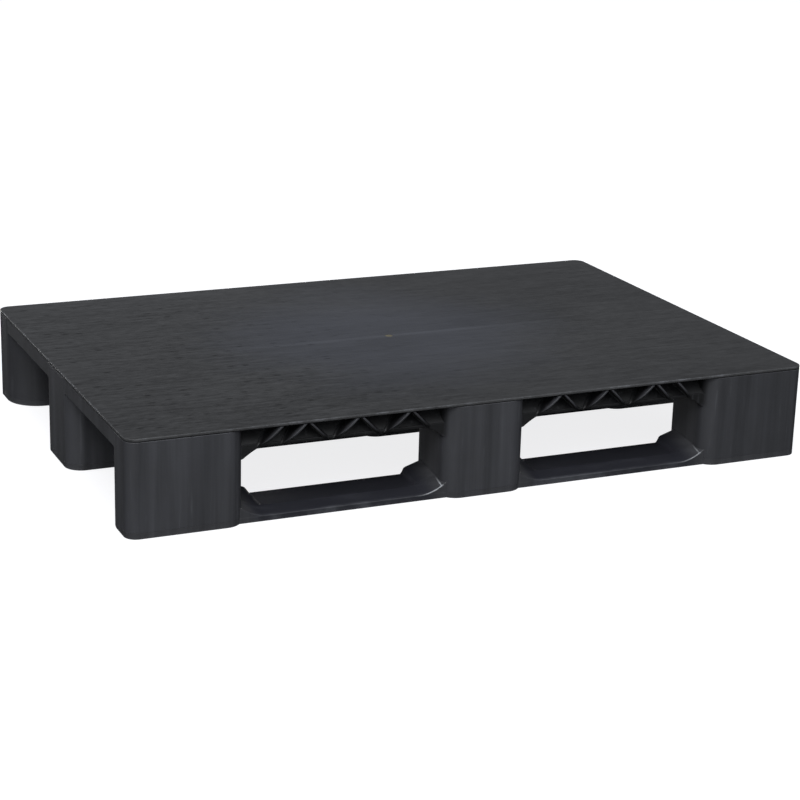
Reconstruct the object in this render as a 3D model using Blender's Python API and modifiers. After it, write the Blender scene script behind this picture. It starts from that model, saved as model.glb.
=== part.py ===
"""Rackable plastic pallet, 1200 x 800 x 160 mm, as the separate pieces it is assembled from.

Metres, +Z up. The origin is on the floor under the middle of the pallet, X runs along the 1200 side
and Y along the 800 side, with the front at -Y.
"""

import math

import bmesh
import bpy
from mathutils import Vector

# Whole pallet
LENGTH = 1.200
WIDTH = 0.800
HEIGHT = 0.160
GAP = 0.0003  # left between pieces that touch
OVERLAP = 0.002  # by which shapes that are joined run into one another
OVERRUN = 0.010  # by which a cutter runs past the face it opens
STEP = 0.0004  # by which faces that would fall in one plane are set apart
SAME = 1e-6  # points closer than this are one point

# Deck cover
COVER_THICKNESS = 0.0055
COVER_CORNER = 0.020
COVER_EDGE = 0.0012
COVER_CORNER_STEPS = 6
SHARP = 40  # degrees, above which an edge of the cover is rounded
PEG_RADIUS = 0.006
PEG_LENGTH = 0.012
PEG_X = 0.400
PEG_Y = 0.200

# Legs, three along X by three along Y
END_LEG = 0.190
SIDE_LEG = 0.113
MIDDLE_LEG = 0.145
LEG_WALL = 0.004
LEG_FLOOR = 0.005
OUTER_CORNER = 0.020
OPENING_CORNER = 0.030
INNER_CORNER = 0.058
BACK_CORNER = 0.010
SMALLEST_CORNER = 0.003

# Ribs under the deck
RIB = 0.0032
BAND_DEPTH = 0.025
BAND_INSET = 0.001
WALL_INSET = 0.016
WALL_DEPTH = 0.034
WALL_LIP = 0.005
WALL_SLANT = 0.026
SLANTED_RIB = 0.004
WALL_END = 0.030
LATTICE_PITCH = 0.200
LATTICE_MARGIN = 0.200
SOCKET_DROP = 0.002

# Truss ribs on the outside of the long walls
TRUSS_PITCH = 0.087
TRUSS_FIRST = 0.1345
TRUSS_APEX = 0.0045
TRUSS_REACH = 0.0145
TRUSS_SHARES = (-0.1, 0.35, 0.65, 0.85, 1)
HAUNCH = 0.031
HAUNCH_DROP = 0.017
HAUNCH_CURVE = 1.4
HAUNCH_ROOT = 0.004
HAUNCH_SHARES = (0, 0.35, 0.7, 1)

# Runners
PAD = 0.010
RUNNER_INSET = 0.0100
RUNNER_BACK = 0.0955
RUNNER_TOP = 0.017
RUNNER_EDGE = 0.009
RUNNER_BEVEL = 0.0255
RAMP = 0.040
RAMP_RISE = 0.0129
BACK_RAMP = 0.031
BACK_RAMP_END = 0.037
BACK_RAMP_RISE = 0.021
BACK_RAMP_LOW = 0.011
BOARD_END = 0.035
POCKETS = 3
POCKET_TOP = 0.009

# Steel reinforcement tubes and their plugs
TUBE_LENGTH = 1.160
TUBE_WIDTH = 0.030
TUBE_HEIGHT = 0.018
TUBE_WALL = 0.0015
TUBE_Y = 0.338
PLUG_FLANGE = 0.003
PLUG_SPIGOT = 0.015

# Screws that hold the runners to the legs
SCREW_HEAD = 0.007
SCREW_HEAD_HEIGHT = 0.004
SCREW_CROWN = 0.001
SCREW_DRIVE = 0.002
SCREW_SHANK = 0.003
SCREW_LENGTH = 0.036
SCREW_RECESS = 0.006
SCREW_SPACING = 0.070
BOSS_RADIUS = 0.009
BOSS_HEIGHT = 0.040

SEAM = HEIGHT - COVER_THICKNESS  # underside of the cover
FRAME_TOP = SEAM - GAP
OPENING_END = LENGTH / 2 - END_LEG  # where the end legs start, along X
SIDE_START = WIDTH / 2 - SIDE_LEG  # where the side legs start, along Y
HALF_MIDDLE = MIDDLE_LEG / 2
WALL_BOTTOM = FRAME_TOP - WALL_DEPTH
TUBE_TOP = FRAME_TOP - GAP
TUBE_SEAT = TUBE_TOP - TUBE_HEIGHT
LEG_BOTTOM = PAD + GAP


def clear_scene():
    for old in list(bpy.data.objects):
        bpy.data.objects.remove(old, do_unlink=True)


def new_collection(name):
    collection = bpy.data.collections.new(name)
    bpy.context.scene.collection.children.link(collection)
    return collection


def plastic_or_metal(name, colour, roughness, metallic=0.0):
    material = bpy.data.materials.new(name)
    material.use_nodes = True
    shader = material.node_tree.nodes["Principled BSDF"]
    shader.inputs["Base Color"].default_value = (*colour, 1.0)
    shader.inputs["Roughness"].default_value = roughness
    shader.inputs["Metallic"].default_value = metallic
    material.diffuse_color = (*colour, 1.0)
    return material


def add_object(name, mesh, collection, location=(0, 0, 0)):
    made = bpy.data.objects.new(name, mesh)
    made.location = location
    collection.objects.link(made)
    return made


def as_helper(made):
    """Marks a shape that only cuts or joins another one."""
    made.hide_render = True
    made.display_type = "WIRE"
    return made


def mesh_from(build, name):
    shape = bmesh.new()
    build(shape)
    bmesh.ops.recalc_face_normals(shape, faces=shape.faces)
    mesh = bpy.data.meshes.new(name)
    shape.to_mesh(mesh)
    shape.free()
    return mesh


def block(name, low, high, collection, radii=(0, 0, 0, 0), steps=4):
    """A box from low to high. radii round its upright edges: at -X-Y, +X-Y, +X+Y and -X+Y."""
    low = Vector(low)
    high = Vector(high)
    size = high - low
    signs = [(-1, -1), (1, -1), (1, 1), (-1, 1)]

    def build(shape):
        bmesh.ops.create_cube(shape, size=1)
        bmesh.ops.scale(shape, vec=size, verts=shape.verts)
        for (sign_x, sign_y), radius in zip(signs, radii):
            if radius == 0:
                continue
            corner = (sign_x * size.x / 2, sign_y * size.y / 2)
            edges = [
                edge
                for edge in shape.edges
                if all(math.dist(vert.co.xy, corner) < SAME for vert in edge.verts)
            ]
            bmesh.ops.bevel(
                shape, geom=edges, offset=radius, offset_type="OFFSET", segments=steps,
                profile=0.5, affect="EDGES",
            )

    return add_object(name, mesh_from(build, name), collection, (low + high) / 2)


def cylinder(name, centre, radius, bottom, top, collection, sides=12):
    def build(shape):
        bmesh.ops.create_cone(
            shape, cap_ends=True, segments=sides, radius1=radius, radius2=radius, depth=top - bottom
        )

    location = (centre[0], centre[1], (bottom + top) / 2)
    return add_object(name, mesh_from(build, name), collection, location)


def plate(name, outline, thickness, collection, location):
    """A flat plate standing in the XZ plane, from an outline of (x, z) points about its location."""
    curve = bpy.data.curves.new(name, "CURVE")
    curve.dimensions = "2D"
    curve.fill_mode = "BOTH"
    curve.extrude = thickness / 2
    spline = curve.splines.new("POLY")
    spline.points.add(len(outline) - 1)
    for point, (x, z) in zip(spline.points, outline):
        point.co = (x, z, 0, 1)
    spline.use_cyclic_u = True
    standing = add_object(name + "_outline", curve, collection, location)
    standing.rotation_euler = (math.radians(90), 0, 0)
    bpy.context.view_layer.update()
    graph = bpy.context.evaluated_depsgraph_get()
    mesh = bpy.data.meshes.new_from_object(standing.evaluated_get(graph))
    shape = bmesh.new()
    shape.from_mesh(mesh)
    bmesh.ops.remove_doubles(shape, verts=shape.verts, dist=SAME)
    bmesh.ops.recalc_face_normals(shape, faces=shape.faces)
    shape.to_mesh(mesh)
    shape.free()
    made = add_object(name, mesh, collection)
    made.matrix_world = standing.matrix_world
    bpy.data.objects.remove(standing)
    return made


def loft(name, sections, collection):
    """A closed solid through rings of points that all have the same number of points."""

    def build(shape):
        rings = [[shape.verts.new(point) for point in section] for section in sections]
        count = len(rings[0])
        for first, second in zip(rings, rings[1:]):
            for at in range(count):
                following = (at + 1) % count
                shape.faces.new((first[at], first[following], second[following], second[at]))
        shape.faces.new(rings[0])
        shape.faces.new(reversed(rings[-1]))

    return add_object(name, mesh_from(build, name), collection)


def boolean(target, operation, operand):
    modifier = target.modifiers.new(operation.lower(), "BOOLEAN")
    modifier.operation = operation
    modifier.solver = "EXACT"
    if isinstance(operand, bpy.types.Collection):
        modifier.operand_type = "COLLECTION"
        modifier.collection = operand
    else:
        modifier.object = operand


def helper_group(name, helpers):
    group = bpy.data.collections.new(name)
    helpers.children.link(group)
    return group


def leg_table():
    """Each leg's name, its (low, high) corners in plan, and its four corner radii."""
    columns = {
        "left": (-LENGTH / 2, -OPENING_END),
        "centre": (-HALF_MIDDLE, HALF_MIDDLE),
        "right": (OPENING_END, LENGTH / 2),
    }
    rows = {
        "front": (-WIDTH / 2, -SIDE_START),
        "middle": (-HALF_MIDDLE, HALF_MIDDLE),
        "rear": (SIDE_START, WIDTH / 2),
    }
    legs = []
    for row, (low_y, high_y) in rows.items():
        for column, (low_x, high_x) in columns.items():
            radii = [leg_corner(row, column, sx, sy) for sx, sy in ((-1, -1), (1, -1), (1, 1), (-1, 1))]
            legs.append((f"{row}_{column}", (low_x, low_y), (high_x, high_y), radii))
    return legs


def leg_corner(row, column, sign_x, sign_y):
    """The radius of a leg's upright edge, from which way the edge faces."""
    at_end = column == ("right" if sign_x > 0 else "left")
    at_side = row == ("rear" if sign_y > 0 else "front")
    if at_end and at_side:
        return OUTER_CORNER
    if row == "middle" or at_side:
        return OPENING_CORNER
    return INNER_CORNER if at_end else BACK_CORNER


def leg_block(name, leg, inset, bottom, top, collection):
    """A leg's own outline, drawn in by inset, as a solid from bottom to top."""
    _, low, high, radii = leg
    low_corner = (low[0] + inset, low[1] + inset, bottom)
    high_corner = (high[0] - inset, high[1] - inset, top)
    corners = [max(radius - inset, SMALLEST_CORNER) for radius in radii]
    return block(name, low_corner, high_corner, collection, corners)


def screw_places():
    """Where the runner screws stand: two under each leg, side by side along X."""
    for name, low, high, _ in leg_table():
        middle = ((low[0] + high[0]) / 2, (low[1] + high[1]) / 2)
        for number, sign in ((1, -1), (2, 1)):
            yield f"{name}_{number}", (middle[0] + sign * SCREW_SPACING / 2, middle[1])


def wall_face(height):
    """How far from the middle a long wall's outer face is: upright at its foot, then leaning in."""
    climb = max(height - WALL_BOTTOM - WALL_LIP, 0) / (WALL_DEPTH - WALL_LIP)
    return WIDTH / 2 - WALL_INSET - WALL_SLANT * climb


def outer_wall(name, sign, group):
    """The leaning wall along one long side, which leaves deep pockets between the truss ribs."""
    knee = WALL_BOTTOM + WALL_LIP
    profile = [
        (wall_face(WALL_BOTTOM), WALL_BOTTOM),
        (wall_face(knee), knee),
        (wall_face(HEIGHT), HEIGHT),
        (wall_face(HEIGHT) - SLANTED_RIB, HEIGHT),
        (wall_face(knee) - RIB, knee),
        (wall_face(WALL_BOTTOM) - RIB, WALL_BOTTOM),
    ]
    reach = LENGTH / 2 - WALL_END
    loft(name, [[(x, sign * y, z) for y, z in profile[::sign]] for x in (-reach, reach)], group)
    haunches(name, sign * (WIDTH / 2 - WALL_INSET - RIB / 2), group)


def inner_wall(name, sign, group):
    """The upright wall on the inner side of a row of legs."""
    reach = LENGTH / 2 - WALL_END
    places = sorted((sign * (SIDE_START + STEP), sign * (SIDE_START + STEP + RIB)))
    block(name, (-reach, places[0], WALL_BOTTOM), (reach, places[1], HEIGHT), group)
    haunches(name, sign * (SIDE_START + STEP + RIB / 2), group)


def haunches(name, y, group):
    """Concave brackets below a long wall, where it meets the legs."""
    outline = [(HAUNCH, HAUNCH_ROOT), (-OVERLAP, HAUNCH_ROOT), (-OVERLAP, -HAUNCH_DROP)]
    for share in HAUNCH_SHARES:
        outline.append((HAUNCH * share, -HAUNCH_DROP * (1 - share) ** HAUNCH_CURVE))
    for number, (x, facing) in enumerate(opening_ends()):
        turned = [(facing * along, up) for along, up in outline]
        plate(f"{name}_haunch_{number}", turned, RIB - 2 * STEP, group, (x, y, WALL_BOTTOM))


def opening_ends():
    """The x of each end of the two long-side openings, with the direction into the opening."""
    return ((-OPENING_END, 1), (-HALF_MIDDLE, -1), (HALF_MIDDLE, 1), (OPENING_END, -1))


def truss_feet():
    """The x at which each truss rib leaves the cover, with the direction in which it slopes down."""
    for side in (-1, 1):
        for number in range(3):
            apex = side * (TRUSS_FIRST + number * TRUSS_PITCH)
            yield apex - TRUSS_APEX, -1
            yield apex + TRUSS_APEX, 1
        yield side * (TRUSS_FIRST + 3 * TRUSS_PITCH - TRUSS_PITCH / 2), side


def truss_rib(name, x, slope, sign, group):
    """A rib at 45 degrees across the pocket outside a long wall, deepest under the cover's edge."""
    fall = WALL_DEPTH - STEP
    half = RIB / math.sqrt(2)
    foot = WIDTH / 2 - WALL_INSET
    sections = []
    for share in TRUSS_SHARES:
        along = x + slope * fall * share
        height = FRAME_TOP - fall * share
        inner = sign * (wall_face(height) - OVERLAP / 2)
        outer = sign * (foot + OVERLAP / 2 + TRUSS_REACH * math.sqrt(1 - max(share, 0) ** 3))
        sections.append(
            [
                (along - half, inner, height),
                (along + half, inner, height),
                (along + half, outer, height),
                (along - half, outer, height),
            ]
        )
    loft(name, sections, group)


def lattice(group):
    """Diagonal ribs both ways under the whole deck."""
    reach = int((LENGTH + WIDTH) / 2 / LATTICE_PITCH)
    length = (WIDTH + LATTICE_MARGIN) * math.sqrt(2)
    for number in range(-reach, reach + 1):
        for way in (-1, 1):
            name = f"lattice_{number}_{way}"
            rib = block(
                name,
                (-length / 2, -RIB / 2, FRAME_TOP - BAND_DEPTH),
                (length / 2, RIB / 2, HEIGHT),
                group,
            )
            rib.location.x = number * LATTICE_PITCH
            rib.rotation_euler = (0, 0, way * math.radians(45))


def lattice_bound(helpers):
    """The space inside the bands and the leaning walls, which trims the diagonal ribs."""
    reach = LENGTH / 2 - BAND_INSET - LEG_WALL + OVERLAP
    top = FRAME_TOP + OVERRUN
    knee = WALL_BOTTOM + WALL_LIP
    side = [(wall_face(level) - OVERLAP, level) for level in (WALL_BOTTOM, knee, top)]
    ring = side + [(-y, level) for y, level in reversed(side)]
    return as_helper(loft("lattice_bound", [[(x, y, z) for y, z in ring] for x in (-reach, reach)], helpers))


def make_frame(parts, helpers, material):
    """The moulded frame: nine hollow legs, edge bands, lengthwise walls, truss ribs and diagonal ribs."""
    ribs = helper_group("lattice ribs", helpers)
    lattice(ribs)
    frame = block(
        "deck_frame",
        (-LENGTH / 2, -RIB / 2, FRAME_TOP - BAND_DEPTH),
        (LENGTH / 2, RIB / 2, HEIGHT),
        parts,
    )
    boolean(frame, "UNION", ribs)
    boolean(frame, "INTERSECT", lattice_bound(helpers))

    walls = helper_group("walls and legs", helpers)
    for side, sign in (("front", -1), ("rear", 1)):
        outer_wall(f"{side}_wall", sign, walls)
        inner_wall(f"{side}_inner_wall", sign, walls)
        for number, (x, slope) in enumerate(truss_feet()):
            truss_rib(f"{side}_truss_{number}", x, slope, sign, walls)
    for side, sign in (("left", -1), ("right", 1)):
        faces = sorted((sign * (LENGTH / 2 - BAND_INSET), sign * (LENGTH / 2 - BAND_INSET - LEG_WALL)))
        half = WIDTH / 2 - OPENING_CORNER
        block(
            f"{side}_band",
            (faces[0], -half, FRAME_TOP - BAND_DEPTH),
            (faces[1], half, HEIGHT),
            walls,
        )
    for leg in leg_table():
        leg_block(f"leg_{leg[0]}", leg, 0, LEG_BOTTOM, HEIGHT, walls)
    boolean(frame, "UNION", walls)

    cavities = helper_group("leg cavities", helpers)
    for leg in leg_table():
        leg_block(f"cavity_{leg[0]}", leg, LEG_WALL, LEG_BOTTOM + LEG_FLOOR, HEIGHT + OVERRUN, cavities)
    boolean(frame, "DIFFERENCE", cavities)

    bosses = helper_group("bosses", helpers)
    for name, centre in screw_places():
        top = LEG_BOTTOM + BOSS_HEIGHT
        cylinder(f"boss_{name}", centre, BOSS_RADIUS, LEG_BOTTOM + OVERLAP, top, bosses)
    for name, centre in peg_places():
        bottom = FRAME_TOP - BAND_DEPTH - SOCKET_DROP
        cylinder(f"socket_{name}", centre, PEG_RADIUS + LEG_WALL, bottom, HEIGHT, bosses)
    boolean(frame, "UNION", bosses)

    openings = helper_group("holes and tube seats", helpers)
    for name, centre in screw_places():
        cylinder(f"pilot_{name}", centre, SCREW_SHANK + GAP, 0, PAD + SCREW_LENGTH, openings)
    for name, centre in peg_places():
        bottom = SEAM - PEG_LENGTH - GAP
        cylinder(f"peg_hole_{name}", centre, PEG_RADIUS + GAP, bottom, HEIGHT + OVERRUN, openings)
    for name, y in tube_rows():
        half = TUBE_WIDTH / 2 + GAP
        reach = TUBE_LENGTH / 2 + PLUG_FLANGE + 2 * GAP
        low = (-reach, y - half, TUBE_SEAT - GAP)
        block(f"tube_seat_{name}", low, (reach, y + half, HEIGHT + OVERRUN), openings)
    block("frame_trim", (-LENGTH, -WIDTH, FRAME_TOP), (LENGTH, WIDTH, HEIGHT + 2 * OVERRUN), openings)
    boolean(frame, "DIFFERENCE", openings)
    frame.data.materials.append(material)
    for group in (ribs, walls, cavities, bosses, openings):
        for helper in group.objects:
            as_helper(helper)


def peg_places():
    for column, x in (("left", -PEG_X), ("centre", 0), ("right", PEG_X)):
        for row, y in (("front", -PEG_Y), ("rear", PEG_Y)):
            yield f"{row}_{column}", (x, y)


def tube_rows():
    return (("front", -TUBE_Y), ("middle", 0), ("rear", TUBE_Y))


def make_cover(parts, helpers, material):
    """The closed top sheet, with round pegs below that locate it in the frame."""
    half = (LENGTH / 2, WIDTH / 2)
    cover = block(
        "deck_cover", (-half[0], -half[1], SEAM), (half[0], half[1], HEIGHT), parts,
        [COVER_CORNER] * 4, COVER_CORNER_STEPS
    )
    edge = cover.modifiers.new("edge", "BEVEL")
    edge.width = COVER_EDGE
    edge.segments = 2
    edge.limit_method = "ANGLE"
    edge.angle_limit = math.radians(SHARP)
    pegs = helper_group("cover pegs", helpers)
    for name, centre in peg_places():
        cylinder(f"peg_{name}", centre, PEG_RADIUS, SEAM - PEG_LENGTH, SEAM + OVERLAP, pegs)
    boolean(cover, "UNION", pegs)
    cover.data.materials.append(material)
    for helper in pegs.objects:
        as_helper(helper)


def ramp_rise(distance):
    """How far a runner's top has risen at this distance from a leg's side."""
    return RAMP_RISE * (max(RAMP - distance, 0) / RAMP) ** 2


def back_rise(distance):
    """The same along an outer runner's back edge: a lug that slopes down, then drops steeply."""
    if distance >= BACK_RAMP_END:
        return ramp_rise(distance)
    if distance > BACK_RAMP:
        return BACK_RAMP_LOW * (BACK_RAMP_END - distance) / (BACK_RAMP_END - BACK_RAMP)
    return BACK_RAMP_RISE - (BACK_RAMP_RISE - BACK_RAMP_LOW) * distance / BACK_RAMP


def outer_section(x, distance):
    """A front runner's cross-section: bevelled along the front, highest at the back."""
    front = -WIDTH / 2 + RUNNER_INSET
    back = -WIDTH / 2 + RUNNER_BACK
    rise = ramp_rise(distance)
    return [
        (x, front, 0),
        (x, back, 0),
        (x, back, RUNNER_TOP + back_rise(distance)),
        (x, front + RUNNER_BEVEL, RUNNER_TOP + rise),
        (x, front, RUNNER_EDGE + rise),
    ]


def middle_section(x, distance):
    """The middle runner's cross-section: bevelled along both sides."""
    rise = ramp_rise(distance)
    side = HALF_MIDDLE - RUNNER_INSET
    return [
        (x, -side, 0),
        (x, side, 0),
        (x, side, RUNNER_EDGE + rise),
        (x, side - RUNNER_BEVEL, RUNNER_TOP + rise),
        (x, RUNNER_BEVEL - side, RUNNER_TOP + rise),
        (x, -side, RUNNER_EDGE + rise),
    ]


def runner_span(name, start, end, section, group):
    """The board between two legs, which rises into a ramp at both of them."""
    distances = [-BOARD_END, -BOARD_END / 3, 0, RAMP / 4, RAMP / 2, BACK_RAMP, BACK_RAMP_END, RAMP]
    stations = [(start + distance, distance) for distance in distances]
    stations += [(end - distance, distance) for distance in reversed(distances)]
    loft(name, [section(x, distance) for x, distance in stations], group)


def make_runner(row, parts, helpers, material):
    """One runner: a pad under each of its three legs, and a board with ramps between them."""
    legs = [leg for leg in leg_table() if leg[0].startswith(row)]
    mirrored = -1 if row == "rear" else 1
    section = middle_section if row == "middle" else outer_section

    def placed(x, distance):
        ring = [(px, mirrored * py, pz) for px, py, pz in section(x, distance)]
        return ring[::mirrored]

    pads = helper_group(f"{row} runner pads", helpers)
    boards = helper_group(f"{row} runner boards", helpers)
    cuts = helper_group(f"{row} runner cuts", helpers)
    _, low, high, radii = legs[1]
    runner = block(f"runner_{row}", (*low, 0), (*high, PAD), parts, radii)
    for leg in (legs[0], legs[2]):
        leg_block(f"pad_{leg[0]}", leg, 0, 0, PAD, pads)
    for side, start, end in (("left", -OPENING_END, -HALF_MIDDLE), ("right", HALF_MIDDLE, OPENING_END)):
        runner_span(f"board_{row}_{side}", start, end, placed, boards)
        board_pockets(f"{row}_{side}", start, end, row, cuts)
    for leg in legs:
        leg_block(f"leg_room_{leg[0]}", leg, -GAP, PAD, HEIGHT, cuts)
    for name, centre in screw_places():
        if name.startswith(row):
            cylinder(f"clearance_{name}", centre, SCREW_SHANK + GAP, -OVERRUN, HEIGHT, cuts)
            cylinder(f"recess_{name}", centre, SCREW_HEAD + GAP, -OVERRUN, SCREW_RECESS, cuts)
    boolean(runner, "UNION", boards)
    boolean(runner, "UNION", pads)
    boolean(runner, "DIFFERENCE", cuts)
    runner.data.materials.append(material)
    for group in (pads, boards, cuts):
        for helper in group.objects:
            as_helper(helper)


def board_pockets(name, start, end, row, group):
    """Hollows in a board's underside that leave walls and cross ribs."""
    if row == "middle":
        low_y = -HALF_MIDDLE + RUNNER_INSET + RUNNER_BEVEL / 2
        high_y = -low_y
    else:
        low_y = -WIDTH / 2 + RUNNER_INSET + RUNNER_BEVEL / 2
        high_y = -WIDTH / 2 + RUNNER_BACK - LEG_WALL
    if row == "rear":
        low_y, high_y = -high_y, -low_y
    pitch = (end - start) / POCKETS
    for number in range(POCKETS):
        low_x = start + number * pitch + RIB
        block(
            f"pocket_{name}_{number}",
            (low_x, low_y, -OVERRUN),
            (low_x + pitch - 2 * RIB, high_y, POCKET_TOP),
            group,
        )


def make_tube(row, y, parts, helpers, material):
    """A rectangular steel tube that lies in the frame's seats, open at both ends."""
    half = (TUBE_LENGTH / 2, TUBE_WIDTH / 2)
    tube = block(
        f"reinforcement_tube_{row}",
        (-half[0], y - half[1], TUBE_SEAT),
        (half[0], y + half[1], TUBE_TOP),
        parts,
    )
    bore = block(
        f"tube_bore_{row}",
        (-half[0] - OVERRUN, y - half[1] + TUBE_WALL, TUBE_SEAT + TUBE_WALL),
        (half[0] + OVERRUN, y + half[1] - TUBE_WALL, TUBE_TOP - TUBE_WALL),
        helpers,
    )
    boolean(tube, "DIFFERENCE", as_helper(bore))
    tube.data.materials.append(material)


def make_plug(row, y, side, parts, helpers, material):
    """The plastic plug that closes one end of a tube: a flange outside and a spigot inside."""
    sign = 1 if side == "right" else -1
    face = sign * (TUBE_LENGTH / 2 + GAP)
    outer = face + sign * PLUG_FLANGE
    inner = face - sign * PLUG_SPIGOT
    half = TUBE_WIDTH / 2
    plug = block(
        f"tube_plug_{row}_{side}",
        (min(face, outer), y - half, TUBE_SEAT),
        (max(face, outer), y + half, TUBE_TOP),
        parts,
    )
    wall = TUBE_WALL + GAP
    middle = face + sign * PLUG_FLANGE / 2
    spigot = block(
        f"spigot_{row}_{side}",
        (min(inner, middle), y - half + wall, TUBE_SEAT + wall),
        (max(inner, middle), y + half - wall, TUBE_TOP - wall),
        helpers,
    )
    boolean(plug, "UNION", as_helper(spigot))
    plug.data.materials.append(material)


def screw_mesh():
    """Half the outline of a pan-head screw, from the tip down its outer side to the drive recess."""
    head_top = SCREW_RECESS - GAP
    head_bottom = head_top - SCREW_HEAD_HEIGHT
    tip = head_top + SCREW_LENGTH
    outline = [
        (0, tip),
        (SCREW_SHANK, tip - 2 * SCREW_SHANK),
        (SCREW_SHANK, head_top),
        (SCREW_HEAD, head_top),
        (SCREW_HEAD - SCREW_CROWN, head_bottom),
        (0, head_bottom + SCREW_DRIVE),
    ]
    mesh = bpy.data.meshes.new("runner_screw")
    points = [(radius, 0, height) for radius, height in outline]
    mesh.from_pydata(points, [(at, at + 1) for at in range(len(points) - 1)], [])
    return mesh


def make_screws(parts, material):
    mesh = screw_mesh()
    mesh.materials.append(material)
    for name, centre in screw_places():
        screw = add_object(f"runner_screw_{name}", mesh, parts, (*centre, 0))
        turn = screw.modifiers.new("turn", "SCREW")
        turn.steps = 10
        turn.render_steps = 10
        turn.use_merge_vertices = True
        turn.merge_threshold = 0.0001
        turn.use_smooth_shade = False


def main():
    clear_scene()
    parts = new_collection("plastic pallet")
    helpers = new_collection("cutters")
    deck_plastic = plastic_or_metal("deck_plastic", (0.047, 0.048, 0.052), 0.42)
    frame_plastic = plastic_or_metal("frame_plastic", (0.040, 0.041, 0.045), 0.46)
    runner_plastic = plastic_or_metal("runner_plastic", (0.036, 0.037, 0.043), 0.44)
    galvanised = plastic_or_metal("galvanised_steel", (0.50, 0.51, 0.52), 0.38, 1.0)
    plug_plastic = plastic_or_metal("plug_plastic", (0.030, 0.030, 0.032), 0.55)
    screw_steel = plastic_or_metal("screw_steel", (0.42, 0.42, 0.41), 0.34, 1.0)

    make_frame(parts, helpers, frame_plastic)
    make_cover(parts, helpers, deck_plastic)
    for row in ("front", "middle", "rear"):
        make_runner(row, parts, helpers, runner_plastic)
    for row, y in tube_rows():
        make_tube(row, y, parts, helpers, galvanised)
        for side in ("left", "right"):
            make_plug(row, y, side, parts, helpers, plug_plastic)
    make_screws(parts, screw_steel)


main()
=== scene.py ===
import math

import bmesh
import bpy
from mathutils import Matrix, Vector


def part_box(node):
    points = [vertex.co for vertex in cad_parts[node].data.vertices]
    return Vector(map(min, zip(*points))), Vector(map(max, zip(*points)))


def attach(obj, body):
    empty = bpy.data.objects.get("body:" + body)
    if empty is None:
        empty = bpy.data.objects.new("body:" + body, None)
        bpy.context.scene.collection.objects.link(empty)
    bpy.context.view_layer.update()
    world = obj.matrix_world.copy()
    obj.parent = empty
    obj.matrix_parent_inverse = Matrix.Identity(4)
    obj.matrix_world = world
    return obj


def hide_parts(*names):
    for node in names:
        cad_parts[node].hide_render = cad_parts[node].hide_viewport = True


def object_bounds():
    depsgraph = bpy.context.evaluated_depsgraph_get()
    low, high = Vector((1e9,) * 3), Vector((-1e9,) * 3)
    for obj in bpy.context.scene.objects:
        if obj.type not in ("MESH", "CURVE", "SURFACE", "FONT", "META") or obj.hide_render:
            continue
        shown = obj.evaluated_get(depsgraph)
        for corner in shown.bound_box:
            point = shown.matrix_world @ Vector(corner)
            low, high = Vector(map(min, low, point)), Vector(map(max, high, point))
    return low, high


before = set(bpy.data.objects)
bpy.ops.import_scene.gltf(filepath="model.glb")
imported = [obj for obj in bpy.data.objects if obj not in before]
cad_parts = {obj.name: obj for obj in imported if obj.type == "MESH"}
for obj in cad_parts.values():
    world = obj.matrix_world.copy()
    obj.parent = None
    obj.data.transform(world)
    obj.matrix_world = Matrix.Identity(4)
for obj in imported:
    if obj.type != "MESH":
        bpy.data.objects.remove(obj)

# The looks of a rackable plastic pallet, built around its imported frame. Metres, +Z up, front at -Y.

CAD_LOW, CAD_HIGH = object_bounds()
BODY = "root"

# Whole pallet
HALF_LENGTH = CAD_HIGH.x
HALF_WIDTH = CAD_HIGH.y
HEIGHT = CAD_HIGH.z
OVERLAP = 0.002  # by which shapes that are joined run into one another
OVERRUN = 0.010  # by which a cutter runs past the face it opens
STEP = 0.0004  # by which faces that would fall in one plane are set apart
GAP = 0.0003  # left between pieces that touch

# Rounding
CORNER_STEPS = 12
EDGE_STEPS = 4
PIN_SIDES = 24
PILOT_SIDES = 12
CLEARANCE_SIDES = 16
ROUND_SIDES = 32
GATE_SIDES = 48
EDGE_ANGLE = 30  # edges sharper than this many degrees are rounded
NEARLY_STRAIGHT = 0.01  # a corner this close to straight, in radians, isn't rounded

# Deck cover
COVER_THICKNESS = 0.0055
COVER_CORNER = 0.020
COVER_EDGE = 0.0016
SEAM_EDGE = 0.0006
SEAM_SLOT = (0.003, 0.0012)  # how deep and how high the groove under the cover is
GATE_RADIUS = 0.0075
GATE_DEPTH = 0.0005
NUB_SHARES = (0.55, 0.5, 0.2)  # the gate nub's radii, as shares of the gate mark's, from its foot up
PEG_RADIUS = 0.006
PEG_LENGTH = 0.012
PEG_X = 0.400
PEG_Y = 0.200

# Legs, three along X by three along Y
END_LEG = 0.190
SIDE_LEG = 0.113
MIDDLE_LEG = 0.145
LEG_WALL = 0.004
LEG_FLOOR = 0.005
LEG_EDGE = 0.0002
OUTER_CORNER = 0.020
OPENING_CORNER = 0.030
INNER_CORNER = 0.058
BACK_CORNER = 0.010
SMALLEST_CORNER = 0.003

# Beams and ribs under the deck
RIB = 0.0032
BAND_DEPTH = 0.025
BAND_INSET = 0.001
BAND_HAUNCH = (0.012, 0.010)
BAND_BURIED = 0.005  # how far inside a leg a band's haunch starts
WALL_INSET = 0.016
WALL_DEPTH = 0.034
WALL_LIP = 0.005
WALL_SLANT = 0.026
SLANTED_RIB = 0.004
WALL_HAUNCH = (0.031, 0.017)
HAUNCH_CURVE = 1.4
HAUNCH_STEPS = 10
INTO_LEG = 0.012
BEAM_EDGE = 0.0008
LATTICE_PITCH = 0.200
LATTICE_MARGIN = 0.200

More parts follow.
